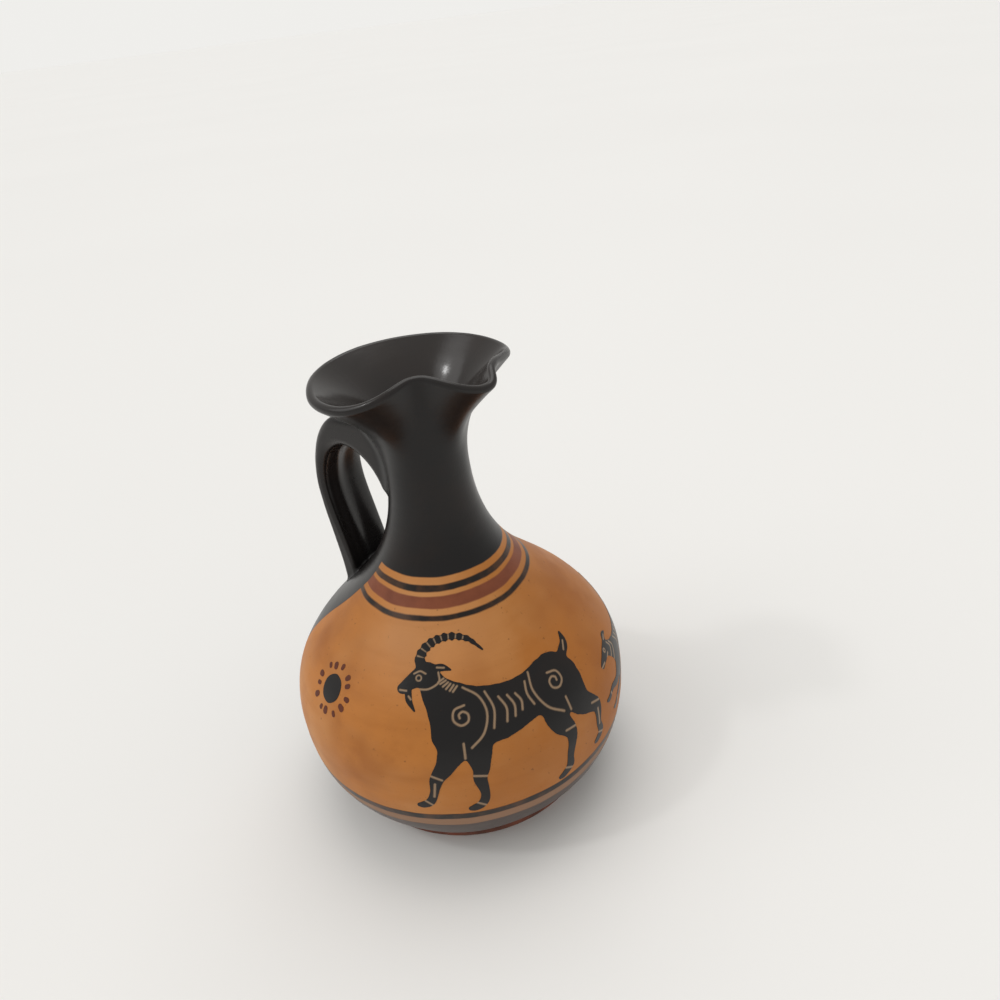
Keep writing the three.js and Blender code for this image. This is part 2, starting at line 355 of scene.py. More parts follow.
ORANGE_PAINTED_LIGHT = srgb(208, 148, 94)
ORANGE_LIGHT = srgb(198, 136, 76)
ORANGE = srgb(184, 116, 50)
ORANGE_DEEP = srgb(156, 90, 26)
SLIP_BLACK = srgb(22, 20, 20)
# Lighter slip as painted light inside the mouth and on the handle, where they lie in shade
SLIP_PAINTED_LIGHT = srgb(50, 44, 41)
SLIP_BROWN = srgb(46, 30, 21)
LINE_DARK = srgb(28, 21, 17)
LINE_BROWN = srgb(70, 45, 27)
# Thin slip of the base zone, lighter partly as painted sheen from the floor
BASE_DARK_AND_SHEEN = srgb(66, 54, 50)
BASE_BROWN_AND_SHEEN = srgb(86, 72, 66)
PALE_GREY_CLAY = srgb(136, 110, 91)
DOT_DARK = srgb(72, 28, 12)
DOT_RED = srgb(104, 48, 24)
RED = srgb(148, 84, 54)
RED_DEEP = srgb(98, 44, 24)
SCRATCH = srgb(150, 124, 98)
BARE_CLAY = srgb(90, 58, 48)
BARE_CLAY_LIGHT = srgb(132, 76, 58)
FLOOR_DARK = srgb(233, 232, 230)
FLOOR_PALE = srgb(237, 236, 234)
ROOM_WHITE = srgb(241, 240, 237)


class Nodes:
    """Adds nodes to one material and links them."""

    def __init__(self, name):
        self.material = bpy.data.materials.new(name)
        self.material.use_nodes = True
        self.tree = self.material.node_tree
        self.shader = self.tree.nodes["Principled BSDF"]
        place = self.add("TexCoord").outputs["Object"]
        self.place = self.vector("SCALE", place, scale=1 / MM)

    def put(self, socket, value):
        if isinstance(value, bpy.types.NodeSocket):
            self.tree.links.new(value, socket)
        else:
            socket.default_value = value

    def add(self, kind, inputs=(), **settings):
        """New node with its settings made, and its inputs linked or set."""
        made = self.tree.nodes.new("ShaderNode" + kind)
        for name, value in settings.items():
            setattr(made, name, value)
        for socket, value in dict(inputs).items():
            self.put(made.inputs[socket], value)
        return made

    def vector(self, operation, a, b=(0, 0, 0), scale=1.0):
        made = self.add("VectorMath", {0: a, 1: b, 3: scale}, operation=operation)
        return made.outputs["Value" if operation in ("LENGTH", "DOT_PRODUCT") else "Vector"]

    def math(self, operation, a, b=0.0, c=0.0):
        return self.add("Math", {0: a, 1: b, 2: c}, operation=operation).outputs[0]

    def most(self, value, *others):
        """Highest of some values."""
        for other in others:
            value = self.math("MAXIMUM", value, other)
        return value

    def axes(self, vector):
        return self.add("SeparateXYZ", {0: vector}).outputs

    def attribute(self, name):
        return self.add("Attribute", attribute_name=name).outputs["Fac"]

    def noise(self, size, detail=2.0, stretch=None, seed=0):
        """Cloudy values about 0.5, with patches of about the given size in millimetres."""
        place = self.place if stretch is None else self.vector("MULTIPLY", self.place, stretch)
        inputs = {"Vector": place, "W": seed, "Scale": 1 / size, "Detail": detail}
        return self.add("TexNoise", inputs, noise_dimensions="4D").outputs["Fac"]

    def step(self, value, low, high):
        """Smooth rise from 0 to 1 as the value goes from low to high."""
        inputs = {"Value": value, "From Min": low, "From Max": high}
        return self.add("MapRange", inputs, interpolation_type="SMOOTHSTEP").outputs["Result"]

    def scaled(self, value, low, high):
        """Straight rise of a 0 to 1 value to the range from low to high."""
        return self.math("MULTIPLY_ADD", value, high - low, low)

    def mix(self, factor, a, b, kind="RGBA"):
        """Blend of two colours, or of two values where the kind is FLOAT."""
        made = self.add("Mix", {"Factor": factor, "A": a, "B": b}, data_type=kind)
        return made.outputs["Result"]

    def over(self, colour, other, value, rise, share=1.0):
        """The colour with up to a share of another, as the value goes from the rise's start to its end."""
        return self.mix(self.scaled(self.step(value, *rise), 0, share), colour, other)

    def finished(self, colour, roughness, height=None, specular=0.5):
        """The material with its colour, roughness, relief in millimetres and sheen."""
        self.put(self.shader.inputs["Base Color"], colour)
        self.put(self.shader.inputs["Roughness"], roughness)
        self.put(self.shader.inputs["Specular IOR Level"], specular)
        if height is not None:
            bump = self.add("Bump", {"Distance": MM, "Height": height})
            self.put(self.shader.inputs["Normal"], bump.outputs["Normal"])
        return self.material


# Clay deeper orange on one side, partly from its firing and partly as painted shade, and paler about a
# place on the other as a painted pool of light
DEEP_AND_SHADED_DIRECTION = (cos(radians(8)), sin(radians(8)), 0.0)
DEEP_AND_SHADED_RISE = (6.0, 36.0)
PAINTED_LIGHT_PLACE = (10.0, -20.0, 54.0)
PAINTED_LIGHT_RISE = (20.0, 4.0)


def clay_colour(nodes):
    """Orange clay: cloudy and fired unevenly, deeper on one side partly as painted shade, with a paler
    patch of painted light, burnish streaks and fine specks.
    """
    firing = nodes.noise(26, detail=3, seed=1)
    colour = nodes.over(ORANGE_DEEP, ORANGE_LIGHT, firing, (0.3, 0.7))
    patches = nodes.noise(9, detail=4, seed=2)
    colour = nodes.over(colour, ORANGE, patches, (0.35, 0.65))
    # Deeper orange towards one side: partly the clay's firing, partly painted shade on the less lit side
    towards = nodes.vector("DOT_PRODUCT", nodes.place, DEEP_AND_SHADED_DIRECTION)
    colour = nodes.over(colour, ORANGE_DEEP, towards, DEEP_AND_SHADED_RISE, share=0.55)
    # Painted light: paler clay about a place where the belly is most brightly lit
    away = nodes.vector("LENGTH", nodes.vector("SUBTRACT", nodes.place, PAINTED_LIGHT_PLACE))
    colour = nodes.over(colour, ORANGE_PAINTED_LIGHT, away, PAINTED_LIGHT_RISE, share=0.6)
    streaks = nodes.noise(3, detail=3, stretch=(0.12, 0.12, 1.0), seed=3)
    colour = nodes.over(colour, ORANGE_DEEP, streaks, (0.45, 0.8), share=0.35)
    specks = nodes.noise(0.7, detail=2, seed=4)
    return nodes.over(colour, SLIP_BROWN, specks, (0.66, 0.78), share=0.5)


def slip_colour(nodes):
    """Black slip: nearly even, brownish where it is thin, with fine specks."""
    thin = nodes.noise(11, detail=4, seed=5)
    colour = nodes.over(SLIP_BLACK, SLIP_BROWN, thin, (0.45, 0.8), share=0.3)
    specks = nodes.noise(0.5, detail=1, seed=6)
    return nodes.over(colour, SLIP_BROWN, specks, (0.7, 0.8), share=0.6)


# Roughness from where to where, and sheen
SLIP_ROUGHNESS = (0.24, 0.40)
RED_ROUGHNESS = (0.40, 0.60)
CLAY_ROUGHNESS = (0.42, 0.60)
BARE_ROUGHNESS = (0.75, 0.95)
FLOOR_ROUGHNESS = 0.7
SHINY_SMOOTHNESS = 0.14
SLIP_SPECULAR = 0.28
SHINY_SPECULAR = 0.42

# Heights of the fine relief, in millimetres
GRAIN = 0.011
STROKES = 0.05
BARE_GRAIN = 0.06


def slip_roughness(nodes, gloss_and_painted_light):
    """Satin outside and smoother where the slip is glossier."""
    cloud = nodes.scaled(nodes.noise(6, detail=4, seed=7), *SLIP_ROUGHNESS)
    return nodes.math("MULTIPLY_ADD", gloss_and_painted_light, -SHINY_SMOOTHNESS, cloud)


def surface_height(nodes):
    """Fine relief of the worked surface, in millimetres."""
    grain = nodes.scaled(nodes.noise(0.45, detail=3, seed=8), 0, GRAIN)
    strokes = nodes.scaled(nodes.noise(2.2, detail=2, stretch=(0.25, 0.25, 1.0), seed=9), 0, STROKES)
    return nodes.math("ADD", grain, strokes)


def black_field(nodes, x, y, z, drift):
    """1 on the black field behind the handle and 0 beyond its edge."""
    radius = nodes.math("SQRT", nodes.math("MULTIPLY_ADD", x, x, nodes.math("MULTIPLY", y, y)))
    turn = nodes.math("ARCTAN2", nodes.math("ABSOLUTE", y), nodes.math("MULTIPLY", x, -1.0))
    arc = nodes.math("MULTIPLY_ADD", turn, radius, drift)
    half_width = nodes.math("MULTIPLY_ADD", z, -FIELD_SPREAD, FIELD_HALF_WIDTH + FIELD_SPREAD * NECK_EDGE)
    return nodes.step(nodes.math("SUBTRACT", arc, half_width), FIELD_BLUR, -FIELD_BLUR)


def painted_clay():
    """Orange clay with the painted rings and the black field behind the handle."""
    nodes = Nodes("painted_clay")
    x, y, z = nodes.axes(nodes.place)
    waver = nodes.scaled(nodes.noise(9, detail=1, seed=10), -WAVER, WAVER)
    ripple = nodes.scaled(nodes.noise(2.2, detail=1, seed=11), -RIPPLE, RIPPLE)
    drift = nodes.math("ADD", waver, ripple)
    level = nodes.math("ADD", z, drift)

    def above(edge):
        return nodes.step(level, edge - RING_BLUR, edge + RING_BLUR)

    def below(edge):
        return nodes.math("SUBTRACT", 1.0, above(edge))

    def between(edges):
        return nodes.math("SUBTRACT", above(edges[0]), above(edges[1]))

    field = nodes.math("MULTIPLY", black_field(nodes, x, y, z, drift), above(BASE_LINE[0]))
    gloss = nodes.most(above(NECK_EDGE), field)
    lines = nodes.most(between(UPPER_LINE), between(LOWER_LINE), between(BASE_LINE))
    base_zone = below(BASE_ZONE_TOP)
    black = nodes.most(gloss, lines, base_zone)
    red = between(RED_BAND)
    thin = nodes.noise(4, detail=4, seed=12)
    gloss_and_painted_light = nodes.attribute("gloss_and_painted_light")
    # Painted light: the slip is lighter inside the mouth and on the handle, which lie in shade
    slip_with_painted_light = nodes.mix(nodes.scaled(gloss_and_painted_light, 0, PAINTED_LIGHT_SHARE), slip_colour(nodes), SLIP_PAINTED_LIGHT)
    # Paler, greyer clay below the base line
    colour = nodes.mix(nodes.scaled(below(BASE_LINE[0]), 0, PALE_GREY_SHARE), clay_colour(nodes), PALE_GREY_CLAY)
    colour = nodes.mix(red, colour, nodes.mix(thin, RED_DEEP, RED))
    colour = nodes.mix(lines, colour, nodes.over(LINE_DARK, LINE_BROWN, thin, (0.4, 0.65)))
    # Base zone: thin dark slip, lightened partly as painted sheen
    colour = nodes.mix(base_zone, colour, nodes.mix(thin, BASE_DARK_AND_SHEEN, BASE_BROWN_AND_SHEEN))
    colour = nodes.mix(gloss, colour, slip_with_painted_light)
    clay_roughness = nodes.scaled(nodes.noise(5, detail=3, seed=13), *CLAY_ROUGHNESS)
    roughness = nodes.mix(black, clay_roughness, slip_roughness(nodes, gloss_and_painted_light), kind="FLOAT")
    coated = nodes.most(black, red)
    height = nodes.math("MULTIPLY_ADD", coated, PAINT_THICKNESS, surface_height(nodes))
    return nodes.finished(colour, roughness, height, nodes.scaled(gloss_and_painted_light, SLIP_SPECULAR, SHINY_SPECULAR))


def black_slip():
    """Black slip of the figures, scratched through to the clay where the attribute says so."""
    nodes = Nodes("black_slip")
    colour = nodes.mix(nodes.attribute("scratched"), slip_colour(nodes), SCRATCH)
    return nodes.finished(colour, slip_roughness(nodes, 0.0), surface_height(nodes), SLIP_SPECULAR)


def red_slip():
    nodes = Nodes("red_brown_slip")
    colour = nodes.mix(nodes.noise(1.2, detail=3, seed=14), DOT_DARK, DOT_RED)
    roughness = nodes.scaled(nodes.noise(2, seed=15), *RED_ROUGHNESS)
    return nodes.finished(colour, roughness, surface_height(nodes), SLIP_SPECULAR)


def bare_clay():
    nodes = Nodes("bare_clay")
    patches = nodes.noise(5, detail=5, seed=16)
    colour = nodes.over(BARE_CLAY, BARE_CLAY_LIGHT, patches, (0.3, 0.7))
    roughness = nodes.scaled(nodes.noise(1.5, seed=17), *BARE_ROUGHNESS)
    height = nodes.scaled(nodes.noise(0.5, detail=4, seed=18), 0, BARE_GRAIN)
    return nodes.finished(colour, roughness, height)


def floor_paper():
    nodes = Nodes("pale_floor")
    colour = nodes.mix(nodes.noise(400, detail=2, seed=19), FLOOR_DARK, FLOOR_PALE)
    return nodes.finished(colour, FLOOR_ROUGHNESS)


painted = painted_clay()
slip = black_slip()
red_paint = red_slip()
bare = bare_clay()


def build_foot():
    """Low disc with rounded edges."""
    rings = [ring(FOOT_RADIUS * share, 0, 0, -1, uneven=False) for share in FOOT_RING_SHARES]
    for start, z in ((-pi / 2, FOOT_EDGE), (0, FOOT_TOP - FOOT_EDGE)):
        for k in range(FOOT_EDGE_STEPS + 1):
            turn = start + pi / 2 * k / FOOT_EDGE_STEPS
            out, up = cos(turn), sin(turn)
            radius = FOOT_RADIUS - FOOT_EDGE + FOOT_EDGE * out
            rings.append(ring(radius, z + FOOT_EDGE * up, out, up, uneven=False))
    piece = skin("foot_clay", rings, bare, poles=(pole(0, -1), pole(FOOT_TOP, 1)))
    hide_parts("foot_disc")


def build_bowl():
    outside = turned_rings(bowl_curve())
    inside = turned_rings(bowl_curve(BELLY_WALL, BOWL_FLOOR), outward=False)
    poles = (pole(FOOT_TOP, -1), pole(FOOT_TOP + BOWL_FLOOR, 1))
    piece = skin("bowl_clay", outside + inside, painted, poles=poles)
    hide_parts("belly_bowl")


def build_turned_wall(name, outer, inner, node):
    rings = turned_rings(outer) + turned_rings(inner, outward=False)
    piece = skin(name, rings, painted, looped=True)
    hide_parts(node)


# Mouth: a flare whose wall is pressed in at the pinches
waist_middle = NECK_WAIST_RADIUS - NECK_WALL / 2
flare_curve = bezier((waist_middle, WAIST_Z), UP, FLARE_RISE, (RIM_RADIUS, RIM_Z),
                     (cos(FLARE_LIP_LEAN), sin(FLARE_LIP_LEAN)), FLARE_LIP_RUN)


def pressed_in(angle):
    """How far the pinches press the rim in at an angle round the mouth."""
    total = 0.0
    for middle, half_width, depth in PINCHES:
        away = angle - radians(middle)
        turn = abs(atan2(sin(away), cos(away)))
        total += depth * exp(-(turn / radians(half_width)) ** PINCH_SHARPNESS)
    return total


def mouth_rings():
    """Rings of the mouth's outside, lip and inside. The lip rises where it is pressed in."""
    middle, across = outline_samples(flare_curve, MOUTH_ROW_LENGTH)
    flare_reach = RIM_RADIUS - waist_middle
    angles = [tau * k / AROUND for k in range(AROUND)]
    nudge = 1e-4
    pressed = [pressed_in(angle) for angle in angles]
    slopes = [(pressed_in(angle + nudge) - pressed_in(angle - nudge)) / (2 * nudge) for angle in angles]

    def surface(row, column):
        """Middle of the wall with its outward and upward directions."""
        radius, z = middle[row]
        climb_out, climb_up = -across[row][1], across[row][0]
        flare_share = (radius - waist_middle) / flare_reach
        rise = (z - WAIST_Z) / MOUTH_HEIGHT
        lift = PINCH_LIFT * rise ** 2
        lift_gain = 2 * PINCH_LIFT * rise / MOUTH_HEIGHT
        ray = Vector((cos(angles[column]), sin(angles[column]), 0))
        side = Vector((-ray.y, ray.x, 0))
        up = Vector((0, 0, 1))
        at = ray * (radius - pressed[column] * flare_share)
        round_way = side * at.length + (up * lift - ray * flare_share) * slopes[column]
        climb = ray * (climb_out * (1 - pressed[column] / flare_reach))
        climb += up * (climb_up * (1 + lift_gain * pressed[column]))
        outward = round_way.cross(climb).normalized()
        return at + up * (z + lift * pressed[column]), outward, climb.normalized()

    def wall_ring(row, turn):
        """Ring of the wall; the turn goes from 0 outside over the lip to pi inside."""
        points, normals = [], []
        thinning = LIP_THINNING * eased(middle[row][1], RIM_Z - LIP_HEIGHT, RIM_Z)
        for column in range(AROUND):
            at, outward, climb = surface(row, column)
            normal = outward * cos(turn) + climb * sin(turn)
            ray = Vector((at.x, at.y, 0)).normalized()
            point = at + ray * thinning + normal * (NECK_WALL / 2 - thinning)
            point += normal * unevenness(point)
            points.append(point)
            normals.append(normal)
        return points, normals

    rows = range(len(middle))
    outside = [wall_ring(row, 0.0) for row in rows]
    lip = [wall_ring(rows[-1], pi * k / LIP_ROWS) for k in range(1, LIP_ROWS)]
    inside = [wall_ring(row, pi) for row in reversed(rows)]
    return outside, lip, inside


def build_mouth():
    outside, lip, inside = mouth_rings()
    piece = skin("mouth_gloss", outside + lip + inside, painted, looped=True)
    over_lip = list(np.linspace(0, 1, len(lip) + 2)[1:-1])
    # These values set both the gloss and the painted light of the mouth
    mouth_gloss_and_painted_light = [0.0] * len(outside) + over_lip + [1.0] * len(inside)
    mark(piece, "gloss_and_painted_light", np.repeat(mouth_gloss_and_painted_light, AROUND))
    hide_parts("pinched_mouth")


def rail(stations):
    """Smooth line through stations: each a point, its direction, and the bend before and after it."""
    t = np.linspace(0, 1, RAIL_ROWS + 1)
    line = [[stations[0][0]]]
    for (start, way, _, bend), (end, end_way, end_bend, _) in zip(stations, stations[1:]):
        line.append(bezier(start, way, bend, end, end_way, end_bend)(t)[1:])
    return np.vstack(line)


def handle_rails():
    """Outer and inner face of the strap, each from its root over the arch and the side to its landing."""
    landing_z = WIDEST_Z + HANDLE_LANDING_RISE
    end_z = landing_z - BELLY_WALL / 2
    dome = dome_curve()(np.linspace(0, 1, CURVE_SAMPLES))
    landing_radius = float(np.interp(landing_z, dome[:, 1], dome[:, 0]))
    landing = (-sin(HANDLE_LANDING_LEAN), -cos(HANDLE_LANDING_LEAN))
    outer = rail([
        ((waist_middle, ROOT_TOP_Z), OUT, 0, OUTER_TOP_BEND),
        ((HANDLE_ARCH_RADIUS, ROOT_TOP_Z), OUT, OUTER_TOP_BEND, OUTER_SHOULDER_BEND),
        ((HANDLE_REACH, SIDE_Z), DOWN, OUTER_SIDE_BEND, LANDING_BEND),
        ((landing_radius + HANDLE_LANDING_SPREAD, end_z), landing, LANDING_BEND, 0),
    ])
    inner = rail([
        ((waist_middle, ROOT_TIP_Z), UP, 0, INNER_ROOT_BEND),
        ((HANDLE_ARCH_RADIUS, ROOT_TOP_Z - HANDLE_ARCH_DEPTH), OUT, INNER_ARCH_BEND, INNER_SHOULDER_BEND),
        ((HANDLE_REACH - HANDLE_THICKNESS, SIDE_Z), DOWN, INNER_SIDE_BEND, LANDING_BEND),
        ((landing_radius - HANDLE_LANDING_THICKNESS, end_z), landing, LANDING_BEND, 0),
    ])
    return outer, inner


class PlaneDistance:
    """Signed distance to a flat outline, kept on a grid and read off anywhere."""

    def __init__(self, outline, inside):
        ranges = [np.arange(low, high, PLANE_STEP) for low, high in zip(PLANE_LOW, PLANE_HIGH)]
        x, z = np.meshgrid(*ranges, indexing="ij")
        near = np.full(x.shape, np.inf)
        for (ax, az), (bx, bz) in zip(outline, outline[1:]):
            dx, dz = bx - ax, bz - az
            share = ((x - ax) * dx + (z - az) * dz) / max(dx * dx + dz * dz, 1e-12)
            share = np.clip(share, 0, 1)
            near = np.minimum(near, np.hypot(x - ax - share * dx, z - az - share * dz))
        self.values = np.where(inside(x, z), -near, near)

    def __call__(self, x, z):
        v = self.values
        across = np.clip((x - PLANE_LOW[0]) / PLANE_STEP, 0, v.shape[0] - 1.001)
        upward = np.clip((z - PLANE_LOW[1]) / PLANE_STEP, 0, v.shape[1] - 1.001)
        i, k = across.astype(int), upward.astype(int)
        lower = toward(v[i, k], v[i + 1, k], across - i)
        upper = toward(v[i, k + 1], v[i + 1, k + 1], across - i)
        return toward(lower, upper, upward - k)


def in_outline(outline):
    """Test of whether points lie in a closed outline."""
    def test(x, z):
        inside = np.zeros(x.shape, bool)
        for (ax, az), (bx, bz) in zip(outline, outline[1:]):
            spans = (az > z) != (bz > z)
            rise = bz - az if bz != az else 1.0
            inside ^= spans & (x < ax + (z - az) * (bx - ax) / rise)
        return inside
    return test


def strap_distance(thinning=0.0):
    """Distance to the strap between its rails, with its inner face moved outward by the thinning."""
    outer, inner = handle_rails()
    along = np.gradient(inner, axis=0)
    along /= np.linalg.norm(along, axis=1)[:, None]
    free = eased(np.linspace(0, 1, len(inner)), *THINNED_SHARES)
    inner = inner + np.column_stack([-along[:, 1], along[:, 0]]) * (thinning * free)[:, None]
    root = [(outer[0][0] - ROOT_DEPTH, outer[0][1])]
    tip = [(inner[0][0] - ROOT_DEPTH, inner[0][1])]
    outline = np.array(root + list(outer) + list(inner[::-1]) + tip + root)
    return PlaneDistance(outline, in_outline(outline))


def body_distance():
    """Distance to the body's outside at the handle, which is round there."""
    dome = outline_samples(dome_curve())[0]
    neck = outline_samples(neck_curve())[0]
    middle, across = outline_samples(flare_curve)
    flare = middle + across * NECK_WALL / 2
    outline = np.vstack([dome, neck[1:], flare[1:]])
    return PlaneDistance(outline, lambda r, z: r < np.interp(z, outline[:, 1], outline[:, 0]))


class Handle:
    """Fields whose zero levels are the handle's surfaces."""

    def __init__(self):
        self.middle = strap_distance()
        self.edge = strap_distance(EDGE_THINNING)
        self.body = body_distance()

    def parts(self, p):
        """Distances to the strap flowing into the body, and to the body's skin."""
        x, y, z = p
        radius = -x
        near_tip = 1 - eased(z, *ROOT_TIP_HEIGHTS)
        near_neck = 1 - eased(radius, *ROOT_TIP_RADII)
        half_width = HANDLE_WIDTH / 2 * (1 - (1 - ROOT_TIP_SHARE) * near_tip * near_neck)
        across = np.clip(y / half_width, -1, 1)
        off_centre = across + RIB_OFFSET * (1 - across ** 2)
        ribs = RIB_DEPTH * (1 - np.cos((RIB_COUNT - 1) * pi * off_centre)) / 2
        arch = eased(z, *ARCH_HEIGHTS)
        growth = toward(STRAP_GROWTH, ARCH_GROWTH, arch)
        flat = toward(self.middle(radius, z), self.edge(radius, z), across ** EDGE_SHARPNESS)
        face = flat + ribs - growth
        side = np.abs(y) - half_width - growth
        rounding = toward(STRAP_ROUNDING, ARCH_ROUNDING, arch)
        corner = np.hypot(np.maximum(face + rounding, 0), np.maximum(side + rounding, 0))
        strap = np.minimum(np.maximum(face, side), -rounding) + corner
        above_skin = self.body(np.hypot(x, y), z)
        fillet = toward(LANDING_FILLET, FLANK_FILLET, eased(z, *FLANK_HEIGHTS))
        fillet = toward(fillet, ROOT_FILLET, eased(z, *ROOT_HEIGHTS))
        return joined(strap, above_skin, fillet), above_skin

    def flowing(self, p):
        return self.parts(p)[0]

    def solid(self, p):
        """The strap with its fillets, down to just under the body's skin."""
        flowing, above_skin = self.parts(p)
        feathered = np.maximum(flowing, flowing - above_skin + FEATHER)
        return np.maximum(feathered, -above_skin - SKIN_OVERLAP)


def gradient(field, p):
    """Slope of a field along each axis."""
    step = 0.02
    parts = []
    for axis in range(3):
        ahead, back = p.copy(), p.copy()
        ahead[axis] += step
        back[axis] -= step
        parts.append((field(ahead) - field(back)) / (2 * step))
    return np.array(parts)


def surface_net(field, low, high, step):
    """Points and quads on a field's zero level, with one point in each cell that it crosses."""
    axes = [np.arange(a, b, step) for a, b in zip(low, high)]
    grid = np.array(np.meshgrid(*axes, indexing="ij"))
    values = field(grid)
    cells = tuple(n - 1 for n in values.shape)
    total, count = np.zeros((3,) + cells), np.zeros(cells)
    base = np.array(np.meshgrid(*[np.arange(n) for n in cells], indexing="ij"), float)
    crossed_edges = []
    for axis in range(3):
        first = np.take(values, range(values.shape[axis] - 1), axis)
        last = np.take(values, range(1, values.shape[axis]), axis)
        crossed = (first < 0) != (last < 0)
        crossed_edges.append((crossed, first < 0))
        share = np.where(crossed, first / np.where(crossed, first - last, 1), 0)
        others = [other for other in range(3) if other != axis]
        for shift in ((0, 0), (0, 1), (1, 0), (1, 1)):
            window = [slice(None)] * 3
            for other, offset in zip(others, shift):
                window[other] = slice(offset, offset + cells[other])
            here, part = crossed[tuple(window)], share[tuple(window)]
            count += here
            total[axis] += here * (base[axis] + part)
            for other, offset in zip(others, shift):
                total[other] += here * (base[other] + offset)
    active = count > 0
    index = np.full(cells, -1)
    index[active] = np.arange(active.sum())
    points = np.array([low[axis] + step * total[axis][active] / count[active] for axis in range(3)])
    faces = []
    for axis, (crossed, rising) in enumerate(crossed_edges):
        one, two = (axis + 1) % 3, (axis + 2) % 3
        for edge in np.argwhere(crossed):
            ring_of_cells = []
            for back_one, back_two in ((1, 1), (0, 1), (0, 0), (1, 0)):
                cell = edge.copy()
                cell[one] -= back_one
                cell[two] -= back_two
                ring_of_cells.append(int(index[tuple(cell)]))
            faces.append(ring_of_cells if rising[tuple(edge)] else ring_of_cells[::-1])
    return points, faces


def build_handle():
    handle = Handle()
    points, faces = surface_net(handle.solid, NET_LOW, NET_HIGH, NET_STEP)
    for _ in range(NET_PULLS):
        slope = gradient(handle.solid, points)
        move = handle.solid(points) * slope / np.maximum((slope ** 2).sum(0), 0.1)
        points -= np.clip(move, -NET_STEP / 2, NET_STEP / 2)
    above_skin = handle.parts(points)[1]
    outside = above_skin > FEATHER - SKIN_OVERLAP
    normals = np.where(outside, gradient(handle.flowing, points), gradient(handle.solid, points))
    normals /= np.maximum(np.linalg.norm(normals, axis=0), 1e-6)
    places = [Vector(place) for place in points.T]
    normals = [Vector(normal) for normal in normals.T]
    vertices = [place + normal * unevenness(place) for place, normal in zip(places, normals)]
    piece = finish_piece("handle_gloss", vertices, faces, painted, normals)
    # The handle's gloss and painted light fade in away from the body's skin
    mark(piece, "gloss_and_painted_light", HANDLE_GLOSS_AND_PAINTED_LIGHT * eased(above_skin, *GLOSS_AND_PAINTED_LIGHT_DISTANCES))
    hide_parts("strap_handle")


build_foot()
build_bowl()
build_turned_wall("shoulder_clay", dome_curve(), dome_curve(BELLY_WALL, NECK_BASE_WALL),
                  "shoulder_dome")
build_turned_wall("neck_gloss", neck_curve(), neck_curve(NECK_BASE_WALL, NECK_WALL), "neck")
build_mouth()
build_handle()


# How the pictures lie on the belly. A window is the left, right, low and high end of a drawing.
PICTURE_GRID = 0.16
BELLY_ROW_LENGTH = 0.1
PICTURE_HEIGHT = 17.6
GOAT_AZIMUTH = radians(-33)
GOAT_WINDOW = (-25, 21, -1, 41)
GOAT_SCALE = 1.17
HOUND_AZIMUTH = radians(34)
HOUND_WINDOW = (-22, 21, 0, 23)
ROSETTE_AZIMUTH = radians(106)
ROSETTE_WINDOW = (-7, 7, -7, 7)
ROSETTE_HEIGHT = 39.1
COAT = 0.06
COAT_ROOT = 0.12
COAT_CORNER = radians(35)
SCRATCH_DEPTH = 0.8 * COAT
BRUSH_WAVER = 0.05
LEAST_CUT = 0.08

# Painted figures, drawn flat in millimetres with u to the right and v up, facing left.
# A stroke is a list of (u, v, half width) points; a scratched line is a list of (u, v) points.
SCRATCH_HALF_WIDTH = 0.21
EYE_LINE_HALF_WIDTH = SCRATCH_HALF_WIDTH * 0.8
FAR = 99.0


def smooth_line(points, per_leg=6):
    """Smooth line through all the points, with whatever each point carries."""
    given = np.array(points, float)
    if len(given) == 2:
        return given
    p = np.vstack([2 * given[0] - given[1], given, 2 * given[-1] - given[-2]])
    t = np.linspace(0, 1, per_leg, endpoint=False)[:, None]
    legs = []
    for a, b, c, d in zip(p, p[1:], p[2:], p[3:]):
        legs.append(0.5 * (2 * b + (c - a) * t + (2 * a - 5 * b + 4 * c - d) * t ** 2
                           + (3 * b - a - 3 * c + d) * t ** 3))
    return np.vstack(legs + [given[-1:]])


def along_line(u, v, line):
    """Distance to a line's middle, the half width there and the length so far."""
    near = np.full(u.shape, FAR)
    width = np.zeros(u.shape)
    along = np.zeros(u.shape)
    length = 0.0
    for (au, av, a_width), (bu, bv, b_width) in zip(line, line[1:]):
        du, dv = bu - au, bv - av
        step = hypot(du, dv)
        share = np.clip(((u - au) * du + (v - av) * dv) / max(step * step, 1e-9), 0, 1)
        away = np.hypot(u - au - share * du, v - av - share * dv)
        here = toward(a_width, b_width, share)
        closer = away - here < near - width
        near = np.where(closer, away, near)
        width = np.where(closer, here, width)
        along = np.where(closer, length + share * step, along)
        length += step
    return near, width, along, length


def stroke(u, v, points):
    near, width, _, _ = along_line(u, v, smooth_line(points))
    return near - width


def drawn_shape(u, v, parts):
    shape = np.full(u.shape, FAR)
    for points, blend in parts:
        shape = joined(shape, stroke(u, v, points), blend)
    return shape


def scratched_lines(u, v, lines):
    nearest = np.full(u.shape, FAR)
    for points in lines:
        nearest = np.minimum(nearest, stroke(u, v, [(a, b, SCRATCH_HALF_WIDTH) for a, b in points]))
    return nearest


def curl(centre, radius, start, turns, count=9):
    """Points of a spiral that winds in to a centre; negative turns go clockwise."""
    points = []
    for k in range(count):
        share = k / (count - 1)
        angle = radians(start) + tau * turns * share
        reach = radius * (1 - 0.75 * share)
        points.append((centre[0] + reach * cos(angle), centre[1] + reach * sin(angle)))
    return points


def ticks(line, length, lean, count):
    """Short strokes set across a line, such as the hair of a mane."""
    path = smooth_line(line, per_leg=20)
    marks = []
    for k in range(count):
        i = round((len(path) - 2) * k / (count - 1))
        along = path[i + 1] - path[i]
        heading = atan2(along[1], along[0]) + radians(lean)
        end = path[i] + length * np.array((cos(heading), sin(heading)))
        marks.append([tuple(path[i]), tuple(end)])
    return marks


